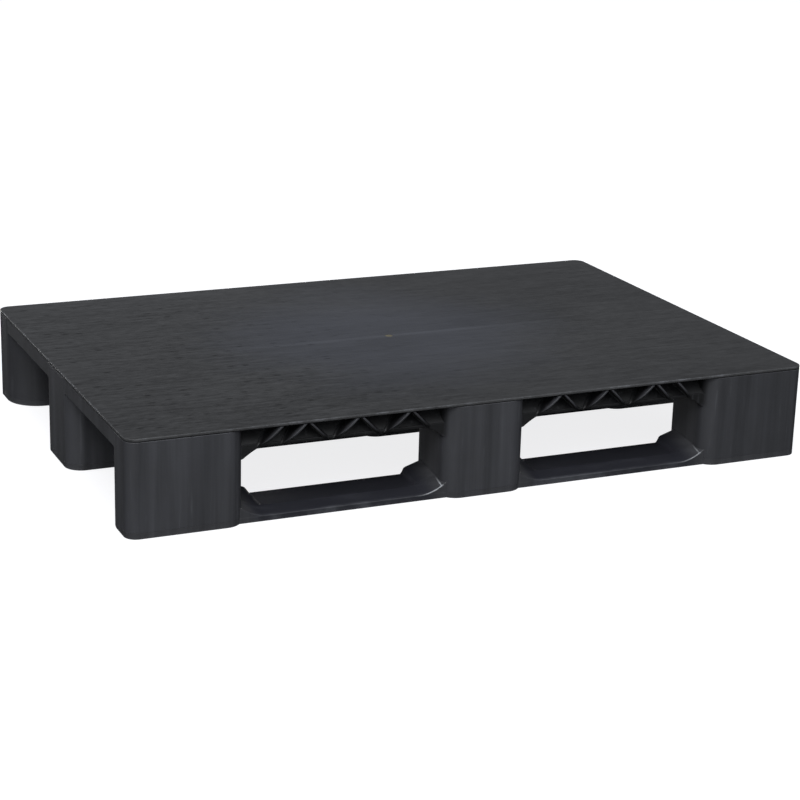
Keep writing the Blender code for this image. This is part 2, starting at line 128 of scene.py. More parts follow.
# Truss ribs on the outside of the long walls
TRUSS_PAIRS = 3
TRUSS_PITCH = 0.087
TRUSS_FIRST = 0.1345
TRUSS_APEX = 0.0045
TRUSS_REACH = 0.0155
TRUSS_CURVE = (3, 1.15)  # the powers of the curve along which a truss rib's tip runs down to the wall
TRUSS_STATIONS = 14
TRUSS_TIP = 0.0009
UPPER_FILLET = 0.004
LOWER_FILLET = 0.002
FILLET_LIMIT = 0.7  # a fillet takes at most this share of a rib's reach
TIP_LIMIT = 0.25  # and the round on its tip at most this share
LATTICE_ANGLE = 45

# Runners
PAD = 0.010
PAD_EDGE = 0.0008
RUNNER_INSET = 0.0100
RUNNER_BACK = 0.0955
RUNNER_TOP = 0.017
RUNNER_EDGE = 0.009
RUNNER_BEVEL = 0.0255
RAMP = 0.040
RAMP_RISE = 0.0129
BACK_RAMP = 0.031
BACK_RAMP_END = 0.037
BACK_RAMP_RISE = 0.021
BACK_RAMP_LOW = 0.011
DROP_START = 0.001  # how far before the lug's end its steep drop starts
RUNNER_INTO_LEG = 0.035
RIDGE_RADIUS = 0.0012
CREASE_RADIUS = 0.004
RAMP_STATIONS = 26
POCKETS = 3
POCKET_TOP = 0.009
BOARD_FADE = 0.030

# Screws that hold the runners to the legs
SCREW_HEAD = 0.007
SCREW_SHANK = 0.003
SCREW_LENGTH = 0.036
HEAD_HEIGHT = 0.004
HEAD_CROWN = ((0.0022, 0), (0.0008, 0.0005), (0.0002, 0.0014), (0, 0.0024))  # (inset, height) over its face
THREAD_PITCH = 0.0012
THREAD_ROOT = 0.78  # the radius between two threads, as a share of the shank's
POINT = (0.7, 0.1)  # the point's radii, as shares of the shank's
POINT_LENGTH = 0.009
SOCKET_RADII = (0.0030, 0.0028)
SOCKET_DEPTH = 0.0022
SOCKET_MOUTH = 0.001  # how far the socket's cutter starts outside the head
HEXAGON = 6
SCREW_RECESS = 0.006
SCREW_SPACING = 0.070
BOSS_RADIUS = 0.009
BOSS_HEIGHT = 0.040

SEAM = HEIGHT - COVER_THICKNESS
FRAME_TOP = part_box("deck_frame")[1].z
LEG_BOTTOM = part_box("deck_frame")[0].z
OPENING_END = HALF_LENGTH - END_LEG
SIDE_START = HALF_WIDTH - SIDE_LEG
HALF_MIDDLE = MIDDLE_LEG / 2
WALL_BOTTOM = FRAME_TOP - WALL_DEPTH
WALL_FOOT = HALF_WIDTH - WALL_INSET
OPENINGS = ((-OPENING_END, -HALF_MIDDLE), (HALF_MIDDLE, OPENING_END))

# Camera: angles in degrees, azimuth 0 is the front and turns towards +X
CAMERA_AZIMUTH = -24.392
CAMERA_ELEVATION = 17.557
CAMERA_ROLL = math.radians(1.6215)
CAMERA_DISTANCE = 3.7200
CAMERA_ASIDE = 0.02295
CAMERA_RAISED = 0.03957
CAMERA_LENS = 93.80
SENSOR_WIDTH = 36
VIEW_END = 200

# Light
DOME_AZIMUTH = -20
DOME_ELEVATION = 32
DOME_FRONT = 1.15
DOME_BEHIND = 0.04
DOME_FULL = 0.9  # the dome is at its brightest where it faces the front this directly
DOME_TINT = (0.93, 0.96, 1.0, 1)
COOL = (0.90, 0.94, 1.0)
WHITE = (1, 1, 1)

# Floor
FLOOR_REACH = 40.0
FLOOR_DROP = 0.0005
FLOOR_GLOW = (0.82, 0.82, 0.83, 1)
FLOOR_MATTE = (0.30, 0.30, 0.31, 1)
FLOOR_DIM = (0.05, 0.05, 0.05, 1)


# ---- mesh tools


def new_object(name, mesh):
    made = bpy.data.objects.new(name, mesh)
    bpy.context.scene.collection.objects.link(made)
    return made


def solid(name, rings):
    """A closed solid through rings of points that all have the same number of points."""
    shape = bmesh.new()
    levels = [[shape.verts.new(point) for point in ring] for ring in rings]
    count = len(levels[0])
    for lower, upper in zip(levels, levels[1:]):
        for at in range(count):
            following = (at + 1) % count
            shape.faces.new((lower[at], lower[following], upper[following], upper[at]))
    shape.faces.new(reversed(levels[0]))
    shape.faces.new(levels[-1])
    bmesh.ops.recalc_face_normals(shape, faces=shape.faces)
    mesh = bpy.data.meshes.new(name)
    shape.to_mesh(mesh)
    shape.free()
    return new_object(name, mesh)


def rounded_outline(low, high, radii):
    """Points round a rectangle, anticlockwise, with a radius for -X-Y, +X-Y, +X+Y and -X+Y."""
    corners = (
        (low[0], low[1], 1, 1, 180),
        (high[0], low[1], -1, 1, 270),
        (high[0], high[1], -1, -1, 0),
        (low[0], high[1], 1, -1, 90),
    )
    points = []
    for (x, y, inward_x, inward_y, start), radius in zip(corners, radii):
        for step in range(CORNER_STEPS + 1):
            angle = math.radians(start + 90 * step / CORNER_STEPS)
            along = x + inward_x * radius + radius * math.cos(angle)
            across = y + inward_y * radius + radius * math.sin(angle)
            points.append((along, across))
    return points


def upright(name, low, high, radii, profile):
    """A solid with rounded upright edges, through (inset, height) pairs."""
    rings = []
    for inset, height in profile:
        outline = rounded_outline(
            (low[0] + inset, low[1] + inset),
            (high[0] - inset, high[1] - inset),
            [max(radius - inset, radius / 4) for radius in radii],
        )
        rings.append([(x, y, height) for x, y in outline])
    return solid(name, rings)


def bottom_edge(height, radius):
    """(inset, height) pairs that round a bottom edge."""
    angles = [math.radians(90 * step / EDGE_STEPS) for step in range(EDGE_STEPS + 1)]
    return [(radius * (1 - math.sin(a)), height + radius * (1 - math.cos(a))) for a in angles]


def top_edge(height, radius):
    """The same for a top edge."""
    return [(inset, 2 * height - level) for inset, level in reversed(bottom_edge(height, radius))]


def box(name, low, high):
    ring = [(low[0], low[1]), (high[0], low[1]), (high[0], high[1]), (low[0], high[1])]
    return solid(name, [[(x, y, z) for x, y in ring] for z in (low[2], high[2])])


def turned(name, centre, profile, sides):
    """A solid turned about an upright axis, through (radius, height) pairs."""
    x, y = centre
    angles = [2 * math.pi * side / sides for side in range(sides)]
    rings = []
    for radius, height in profile:
        rings.append([(x + radius * math.cos(a), y + radius * math.sin(a), height) for a in angles])
    return solid(name, rings)


def pin(name, centre, radius, bottom, top, sides=PIN_SIDES):
    return turned(name, centre, [(radius, bottom), (radius, top)], sides)


def soften(made, width, segments=2):
    """Rounds a shape's sharp edges."""
    edge = made.modifiers.new("edge", "BEVEL")
    edge.width = width
    edge.segments = segments
    edge.limit_method = "ANGLE"
    edge.angle_limit = math.radians(EDGE_ANGLE)
    return made


def combine(target, operation, others):
    """Joins others to target, cuts them from it or keeps what is inside them, and removes them."""
    group = bpy.data.collections.new(operation.lower())
    for other in others:
        group.objects.link(other)
    modifier = target.modifiers.new(operation.lower(), "BOOLEAN")
    modifier.operation = operation
    modifier.solver = "EXACT"
    modifier.operand_type = "COLLECTION"
    modifier.collection = group
    bake(target)
    for other in others:
        bpy.data.objects.remove(other)
    bpy.data.collections.remove(group)


def bake(target):
    """Applies a piece's modifiers."""
    bpy.context.view_layer.update()
    graph = bpy.context.evaluated_depsgraph_get()
    mesh = bpy.data.meshes.new_from_object(target.evaluated_get(graph))
    target.modifiers.clear()
    target.data = mesh


def shade(piece, material, angle=32):
    """Shades a piece smooth up to an angle in degrees, and gives it its material."""
    piece.data.shade_smooth()
    piece.data.set_sharp_from_angle(angle=math.radians(angle))
    piece.data.materials.clear()
    piece.data.materials.append(material)


def stand_in(piece, node):
    """Puts a piece in the place of its CAD node."""
    normals = piece.modifiers.new("normals", "WEIGHTED_NORMAL")
    normals.keep_sharp = True
    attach(piece, BODY)
    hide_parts(node)


# ---- layout


def leg_corner(row, column, sign_x, sign_y):
    """The radius of a leg's upright edge, from which way the edge faces."""
    at_end = column == ("right" if sign_x > 0 else "left")
    at_side = row == ("rear" if sign_y > 0 else "front")
    if at_end and at_side:
        return OUTER_CORNER
    if row == "middle" or at_side:
        return OPENING_CORNER
    return INNER_CORNER if at_end else BACK_CORNER


def leg_table():
    """Each leg's name, its corners in plan and its four corner radii."""
    columns = {
        "left": (-HALF_LENGTH, -OPENING_END),
        "centre": (-HALF_MIDDLE, HALF_MIDDLE),
        "right": (OPENING_END, HALF_LENGTH),
    }
    rows = {
        "front": (-HALF_WIDTH, -SIDE_START),
        "middle": (-HALF_MIDDLE, HALF_MIDDLE),
        "rear": (SIDE_START, HALF_WIDTH),
    }
    legs = []
    for row, (low_y, high_y) in rows.items():
        for column, (low_x, high_x) in columns.items():
            radii = [leg_corner(row, column, sx, sy) for sx, sy in ((-1, -1), (1, -1), (1, 1), (-1, 1))]
            legs.append((f"{row}_{column}", (low_x, low_y), (high_x, high_y), radii))
    return legs


def leg_shape(name, leg, profile, inset=0.0):
    _, low, high, radii = leg
    smaller = [max(radius - inset, SMALLEST_CORNER) for radius in radii]
    low_corner = (low[0] + inset, low[1] + inset)
    high_corner = (high[0] - inset, high[1] - inset)
    return upright(name, low_corner, high_corner, smaller, profile)


def screw_places():
    """Where the runner screws stand: two under each leg, side by side along X."""
    for name, low, high, _ in leg_table():
        middle = ((low[0] + high[0]) / 2, (low[1] + high[1]) / 2)
        for number, sign in ((1, -1), (2, 1)):
            yield f"{name}_{number}", (middle[0] + sign * SCREW_SPACING / 2, middle[1])


def peg_places():
    for x in (-PEG_X, 0, PEG_X):
        for y in (-PEG_Y, PEG_Y):
            yield (x, y)


# ---- deck cover


def gate_nub():
    """The stub that the moulding gate leaves in the middle of the deck."""
    top = HEIGHT - GATE_DEPTH
    heights = (top - OVERLAP, top, HEIGHT - GATE_DEPTH / 4)
    profile = [(GATE_RADIUS * share, height) for share, height in zip(NUB_SHARES, heights)]
    return turned("gate_nub", (0, 0), profile, ROUND_SIDES)


def make_cover(material):
    """The closed top sheet: rounded edges, a moulded gate mark, and pegs below."""
    low = (-HALF_LENGTH, -HALF_WIDTH)
    high = (HALF_LENGTH, HALF_WIDTH)
    depth, height = SEAM_SLOT
    profile = [(depth, SEAM), (depth, SEAM + height - SEAM_EDGE / 2)]
    profile += bottom_edge(SEAM + height, SEAM_EDGE) + top_edge(HEIGHT, COVER_EDGE)
    profile.append((2 * COVER_EDGE, HEIGHT))
    cover = upright("deck_cover_sheet", low, high, [COVER_CORNER] * 4, profile)
    groove = [(GATE_RADIUS, HEIGHT - GATE_DEPTH), (GATE_RADIUS + GATE_DEPTH, HEIGHT + OVERRUN)]
    combine(cover, "DIFFERENCE", [turned("gate_groove", (0, 0), groove, GATE_SIDES)])
    peg = [
        (PEG_RADIUS - SEAM_EDGE, SEAM - PEG_LENGTH),
        (PEG_RADIUS, SEAM - PEG_LENGTH + SEAM_EDGE),
        (PEG_RADIUS, SEAM + OVERLAP),
    ]
    pegs = [turned(f"peg_{number}", centre, peg, ROUND_SIDES) for number, centre in enumerate(peg_places())]
    combine(cover, "UNION", [gate_nub()] + pegs)
    shade(cover, material)
    stand_in(cover, "deck_cover")


# ---- deck frame


def beam(name, start, end, depth, haunch, across, lengthwise, top=HEIGHT):
    """A thin wall between two legs, from top down, with a concave haunch at either end.

    start and end are the legs' sides, across is the wall's (low, high) place across its length.
    """
    reach, drop = haunch
    bottom = FRAME_TOP - depth
    shares = [step / HAUNCH_STEPS for step in range(HAUNCH_STEPS + 1)]
    haunch_curve = [(reach * share, bottom - drop * (1 - share) ** HAUNCH_CURVE) for share in shares]
    outline = [(start - INTO_LEG, top), (start - INTO_LEG, bottom - drop - INTO_LEG / 4)]
    outline += [(start + along, height) for along, height in haunch_curve]
    outline += [(end - along, height) for along, height in reversed(haunch_curve)]
    outline += [(end + INTO_LEG, bottom - drop - INTO_LEG / 4), (end + INTO_LEG, top)]
    rings = []
    for place in across:
        if lengthwise:
            rings.append([(along, place, height) for along, height in outline])
        else:
            rings.append([(place, along, height) for along, height in outline])
    return soften(solid(name, rings), BEAM_EDGE)


def wall_face(height):
    """How far from the middle a long wall's outer face is: upright at its foot, then leaning in."""
    climb = max(height - WALL_BOTTOM - WALL_LIP, 0) / (WALL_DEPTH - WALL_LIP)
    return WALL_FOOT - WALL_SLANT * climb


def leaning_wall(name, start, end, sign):
    """The upper part of a long wall, which leans in and leaves deep pockets between the truss ribs."""
    knee = WALL_BOTTOM + WALL_LIP
    profile = [
        (wall_face(knee) - STEP, knee - OVERLAP),
        (wall_face(HEIGHT), HEIGHT),
        (wall_face(HEIGHT) - SLANTED_RIB, HEIGHT),
        (wall_face(knee) - SLANTED_RIB, knee - OVERLAP),
    ]
    ends = (start - INTO_LEG + OVERLAP, end + INTO_LEG - OVERLAP)
    return solid(name, [[(x, sign * y, z) for y, z in profile] for x in ends])


def corner_surface(side, radius):
    """Where, along Y, a leg's rounded corner passes a short-side band's outer face."""
    return side - radius + math.sqrt(radius**2 - (radius - BAND_INSET) ** 2)


def truss_feet():
    """The x at which each truss rib leaves the cover, with the direction in which it slopes down."""
    for side in (-1, 1):
        for number in range(TRUSS_PAIRS):
            apex = side * (TRUSS_FIRST + number * TRUSS_PITCH)
            yield apex - TRUSS_APEX, -1
            yield apex + TRUSS_APEX, 1
        yield side * (TRUSS_FIRST + (TRUSS_PAIRS - 0.5) * TRUSS_PITCH), side


def rib_section(half, reach, left_fillet, right_fillet):
    """A rib's slice: (aside, out) points from its left foot over its rounded tip to its right foot."""
    tip = min(TRUSS_TIP, reach * TIP_LIMIT)
    points = []
    for side, fillet in ((-1, left_fillet), (1, right_fillet)):
        foot = min(fillet, reach * FILLET_LIMIT)
        half_points = [(half + foot, -OVERLAP)]
        for step in range(EDGE_STEPS + 2):
            angle = math.radians(90 * step / (EDGE_STEPS + 1))
            half_points.append((half + foot * (1 - math.sin(angle)), foot * (1 - math.cos(angle))))
        for step in range(EDGE_STEPS + 1):
            angle = math.radians(90 * step / EDGE_STEPS)
            half_points.append((half - tip * (1 - math.cos(angle)), reach - tip * (1 - math.sin(angle))))
        mirrored = [(side * aside, out) for aside, out in half_points]
        points += mirrored if side < 0 else list(reversed(mirrored))
    return points


def truss_rib(name, x, slope, sign):
    """A rib at 45 degrees on the outside of a long wall, deepest under the cover's edge."""
    half = RIB / math.sqrt(2)
    left = UPPER_FILLET if slope < 0 else LOWER_FILLET
    right = UPPER_FILLET if slope > 0 else LOWER_FILLET
    power, outer_power = TRUSS_CURVE
    rings = []
    for station in range(-1, TRUSS_STATIONS + 1):
        share = station / TRUSS_STATIONS
        depth = (WALL_DEPTH - STEP) * share
        height = FRAME_TOP - depth
        face = wall_face(height)
        beyond_foot = TRUSS_REACH * (1 - max(share, 0) ** power) ** outer_power
        section = rib_section(half, WALL_FOOT - face + beyond_foot + STEP, left, right)
        rings.append([(x + slope * depth + aside, sign * (face + out), height) for aside, out in section])
    return solid(name, rings)


def lattice():
    """Diagonal ribs both ways under the whole deck."""
    reach = int((HALF_LENGTH + HALF_WIDTH) / LATTICE_PITCH)
    length = (2 * HALF_WIDTH + LATTICE_MARGIN) * math.sqrt(2)
    ribs = []
    for number in range(-reach, reach + 1):
        for way in (-1, 1):
            low = (-length / 2, -RIB / 2, FRAME_TOP - BAND_DEPTH)
            rib = box(f"lattice_{number}_{way}", low, (length / 2, RIB / 2, HEIGHT))
            rib.location.x = number * LATTICE_PITCH
            rib.rotation_euler = (0, 0, way * math.radians(LATTICE_ANGLE))
            ribs.append(rib)
    return ribs


def lattice_bound():
    """The space inside the bands and the leaning walls, which trims the diagonal ribs."""
    reach = HALF_LENGTH - BAND_INSET - LEG_WALL + OVERLAP
    levels = (WALL_BOTTOM, WALL_BOTTOM + WALL_LIP, HEIGHT + OVERRUN)
    side = [(wall_face(level) - OVERLAP, level) for level in levels]
    ring = side + [(-y, level) for y, level in reversed(side)]
    return solid("bound", [[(x, y, z) for y, z in ring] for x in (-reach, reach)])


def frame_walls():
    """The long walls and short-side bands, with their truss ribs."""
    parts = []
    band_start = corner_surface(HALF_MIDDLE, OPENING_CORNER) - BAND_BURIED
    band_end = HALF_WIDTH - corner_surface(SIDE_LEG, INNER_CORNER) + BAND_BURIED
    for sign in (-1, 1):
        side = "front" if sign < 0 else "rear"
        foot = sorted((sign * WALL_FOOT, sign * (WALL_FOOT - RIB)))
        inner = sorted((sign * (SIDE_START + STEP), sign * (SIDE_START + STEP + RIB)))
        for number, (start, end) in enumerate(OPENINGS):
            name = f"{side}_wall_{number}"
            knee = WALL_BOTTOM + WALL_LIP + STEP
            parts.append(beam(f"{name}_foot", start, end, WALL_DEPTH, WALL_HAUNCH, foot, True, knee))
            parts.append(leaning_wall(f"{name}_lean", start, end, sign))
            parts.append(beam(f"{name}_inner", start, end, WALL_DEPTH, WALL_HAUNCH, inner, True))
        for number, (x, slope) in enumerate(truss_feet()):
            parts.append(truss_rib(f"{side}_truss_{number}", x, slope, sign))
        outer = HALF_LENGTH - BAND_INSET
        across = sorted((sign * outer, sign * (outer - LEG_WALL)))
        for row in (-1, 1):
            start, end = sorted((row * band_start, row * band_end))
            parts.append(beam(f"{side}_band_{row}", start, end, BAND_DEPTH, BAND_HAUNCH, across, False))
    return parts


def hollow_legs(piece):
    """Joins the nine legs and the walls to a piece, and hollows the legs from above."""
    legs = []
    profile = bottom_edge(LEG_BOTTOM, LEG_EDGE)
    profile += [(0, FRAME_TOP - SEAM_EDGE), (SEAM_EDGE, FRAME_TOP), (SEAM_EDGE, HEIGHT)]
    for leg in leg_table():
        legs.append(leg_shape(f"leg_{leg[0]}", leg, profile))
    combine(piece, "UNION", frame_walls() + legs)
    cavity = [(0, LEG_BOTTOM + LEG_FLOOR), (0, HEIGHT + OVERRUN)]
    cavities = [leg_shape(f"cavity_{leg[0]}", leg, cavity, LEG_WALL) for leg in leg_table()]
    combine(piece, "DIFFERENCE", cavities)


def frame_fittings():
    """The frame's bosses and sockets, and the cuts for the screws, the pegs and the tubes."""
    bosses = []
    trim_low = (-2 * HALF_LENGTH, -2 * HALF_WIDTH, FRAME_TOP)
    cuts = [box("trim", trim_low, (2 * HALF_LENGTH, 2 * HALF_WIDTH, HEIGHT + 2 * OVERRUN))]
    boss_top = LEG_BOTTOM + BOSS_HEIGHT
    for name, centre in screw_places():
        bosses.append(pin(f"boss_{name}", centre, BOSS_RADIUS, LEG_BOTTOM + OVERLAP, boss_top))
        cuts.append(pin(f"pilot_{name}", centre, SCREW_SHANK + GAP, 0, PAD + SCREW_LENGTH, PILOT_SIDES))
    socket_bottom = FRAME_TOP - BAND_DEPTH - OVERLAP
    hole_bottom = SEAM - PEG_LENGTH - GAP
    for number, centre in enumerate(peg_places()):
        bosses.append(pin(f"socket_{number}", centre, PEG_RADIUS + LEG_WALL, socket_bottom, HEIGHT))
        cuts.append(pin(f"hole_{number}", centre, PEG_RADIUS + GAP, hole_bottom, HEIGHT + OVERRUN))
    for row in ("front", "middle", "rear"):
        low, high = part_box(f"reinforcement_tube_{row}")
        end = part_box(f"tube_plug_{row}_right")[1].x + GAP
        seat_low = (-end, low.y - GAP, low.z - GAP)
        cuts.append(box(f"seat_{row}", seat_low, (end, high.y + GAP, HEIGHT + OVERRUN)))
    return bosses, cuts


def make_frame(material):
    """The moulded frame: nine hollow legs, bands, walls with truss ribs, and diagonal ribs."""
    low = (-HALF_LENGTH, -RIB / 2, FRAME_TOP - BAND_DEPTH)
    piece = box("deck_frame_moulding", low, (HALF_LENGTH, RIB / 2, HEIGHT))
    combine(piece, "UNION", lattice())
    combine(piece, "INTERSECT", [lattice_bound()])
    hollow_legs(piece)
    bosses, cuts = frame_fittings()
    combine(piece, "UNION", bosses)
    combine(piece, "DIFFERENCE", cuts)
    shade(piece, material)
    stand_in(piece, "deck_frame")


# ---- runners


def ramp_rise(distance):
    """How far a runner's top has risen at this distance from a leg's side."""
    return RAMP_RISE * (max(RAMP - distance, 0) / RAMP) ** 2


def smooth_step(value):
    share = min(max(value, 0), 1)
    return share * share * (3 - 2 * share)


def back_rise(distance):
    """The same along an outer runner's back edge: a lug that slopes down, then drops steeply."""
    slope = BACK_RAMP_RISE - (BACK_RAMP_RISE - BACK_RAMP_LOW) * distance / BACK_RAMP
    drop = smooth_step((distance - BACK_RAMP + DROP_START) / (BACK_RAMP_END - BACK_RAMP + DROP_START))
    return slope * (1 - drop) + ramp_rise(distance) * drop


def rounded_corner(before, corner, after, radius, steps):
    """Points that round one corner of an outline of (y, z) points."""
    to_before = (Vector(before) - Vector(corner)).normalized()
    to_after = (Vector(after) - Vector(corner)).normalized()
    half = to_before.angle(to_after) / 2
    if abs(half - math.pi / 2) < NEARLY_STRAIGHT:
        return [Vector(corner)] * (steps + 1)
    tangent = radius / math.tan(half)
    centre = Vector(corner) + (to_before + to_after).normalized() * radius / math.sin(half)
    start = Vector(corner) + to_before * tangent - centre
    end = Vector(corner) + to_after * tangent - centre
    turn = start.angle_signed(end)
    points = []
    for step in range(steps + 1):
        turned_by = Matrix.Rotation(-turn * step / steps, 2)
        points.append(centre + turned_by @ start)
    return points


def rounded_section(corners):
    """Rounds each corner of an outline: corners are ((y, z), radius)."""
    points = []
    count = len(corners)
    for at, (corner, radius) in enumerate(corners):
        before = corners[at - 1][0]
        after = corners[(at + 1) % count][0]
        points += rounded_corner(before, corner, after, radius, EDGE_STEPS)
    return points


def outer_section(distance):
    """A front runner's cross-section: bevelled along the front, highest at the back."""
    front = -HALF_WIDTH + RUNNER_INSET
    back = -HALF_WIDTH + RUNNER_BACK
    rise = ramp_rise(distance)
    return rounded_section([
        ((front, 0), PAD_EDGE),
        ((back, 0), RIDGE_RADIUS),
        ((back, RUNNER_TOP + back_rise(distance)), PAD_EDGE),
        ((front + RUNNER_BEVEL, RUNNER_TOP + rise), CREASE_RADIUS),
        ((front, RUNNER_EDGE + rise), RIDGE_RADIUS),
    ])


def middle_section(distance):
    """The middle runner's cross-section: bevelled along both sides."""
    rise = ramp_rise(distance)
    side = HALF_MIDDLE - RUNNER_INSET
    return rounded_section([
        ((-side, 0), PAD_EDGE),
        ((side, 0), PAD_EDGE),
        ((side, RUNNER_EDGE + rise), RIDGE_RADIUS),
        ((side - RUNNER_BEVEL, RUNNER_TOP + rise), CREASE_RADIUS),
        ((RUNNER_BEVEL - side, RUNNER_TOP + rise), CREASE_RADIUS),
        ((-side, RUNNER_EDGE + rise), RIDGE_RADIUS),
    ])


def runner_board(name, start, end, row):
    """The board between two legs, which rises into a ramp at both of them."""
    section = middle_section if row == "middle" else outer_section
    mirrored = -1 if row == "rear" else 1
    span = RUNNER_INTO_LEG + RAMP
    distances = [span * step / RAMP_STATIONS - RUNNER_INTO_LEG for step in range(RAMP_STATIONS + 1)]
    stations = [(start + distance, distance) for distance in distances]
    stations += [(end - distance, distance) for distance in reversed(distances)]
    rings = [[(x, mirrored * y, z) for y, z in section(distance)] for x, distance in stations]
    return solid(name, rings)


def board_pockets(start, end, row):
    """Hollows in a board's underside that leave walls and cross ribs."""
    if row == "middle":
        low_y = -HALF_MIDDLE + RUNNER_INSET + RUNNER_BEVEL / 2
        high_y = -low_y
    else:
        low_y = -HALF_WIDTH + RUNNER_INSET + RUNNER_BEVEL / 2
        high_y = -HALF_WIDTH + RUNNER_BACK - LEG_WALL
    if row == "rear":
        low_y, high_y = -high_y, -low_y
    pitch = (end - start) / POCKETS
    pockets = []
    for number in range(POCKETS):
        low_x = start + number * pitch + RIB
        name = f"pocket_{row}_{number}_{start:.3f}"
        profile = [(0, -OVERRUN), (0, POCKET_TOP - RIDGE_RADIUS), (RIDGE_RADIUS, POCKET_TOP)]
        corners = [SMALLEST_CORNER] * 4
        pockets.append(upright(name, (low_x, low_y), (low_x + pitch - 2 * RIB, high_y), corners, profile))
    return pockets


def make_runner(row, material):
    """One runner: a pad under each of its three legs, and a board with ramps between them."""
    legs = [leg for leg in leg_table() if leg[0].startswith(row)]
    pad = bottom_edge(0, PAD_EDGE) + top_edge(PAD, LEG_EDGE)
    piece = leg_shape(f"runner_{row}_moulding", legs[1], pad)
    pads = [leg_shape(f"pad_{leg[0]}", leg, pad) for leg in (legs[0], legs[2])]
    boards = []
    cuts = []
    for number, (start, end) in enumerate(OPENINGS):
        boards.append(runner_board(f"board_{row}_{number}", start, end, row))
        cuts += board_pockets(start, end, row)
    room = [(0, PAD), (0, HEIGHT)]
    cuts += [leg_shape(f"leg_room_{leg[0]}", leg, room, -GAP) for leg in legs]
    for name, centre in screw_places():
        if name.startswith(row):
            shank = SCREW_SHANK + GAP
            cuts.append(pin(f"clearance_{name}", centre, shank, -OVERRUN, HEIGHT, CLEARANCE_SIDES))
            head = SCREW_HEAD + GAP
            cuts.append(pin(f"recess_{name}", centre, head, -2 * OVERRUN, SCREW_RECESS, ROUND_SIDES))
    combine(piece, "UNION", boards + pads)
    combine(piece, "DIFFERENCE", cuts)
    shade(piece, material, angle=40)
    stand_in(piece, f"runner_{row}")


# ---- screws


def screw_solid(head_top):
    """A pan-head screw with a ridged shank and a hexagon socket, which points up."""
    face = head_top - HEAD_HEIGHT
    tip = head_top + SCREW_LENGTH
    profile = [(SCREW_HEAD - inset, face + height) for inset, height in HEAD_CROWN]
    profile.append((SCREW_HEAD, head_top))
    level = head_top
    while level < tip - POINT_LENGTH:
        profile += [(SCREW_SHANK * THREAD_ROOT, level), (SCREW_SHANK, level + THREAD_PITCH / 2)]
        level += THREAD_PITCH
    profile += [(SCREW_SHANK * POINT[0], level), (SCREW_SHANK * POINT[1], tip)]
    screw = turned("screw", (0, 0), profile, ROUND_SIDES)
    mouth, bottom = SOCKET_RADII
    socket = turned("socket", (0, 0), [(mouth, face - SOCKET_MOUTH), (bottom, face + SOCKET_DEPTH)], HEXAGON)
    combine(screw, "DIFFERENCE", [socket])
    return screw


def make_screws(material):
    """All the runner screws, which share one mesh."""
    pattern = screw_solid(SCREW_RECESS - GAP)
    shade(pattern, material)
    for name, centre in screw_places():
        screw = new_object(f"screw_{name}", pattern.data)
        screw.location = (*centre, 0)
        bpy.context.view_layer.update()
        stand_in(screw, f"runner_screw_{name}")
    bpy.data.objects.remove(pattern)


# ---- materials


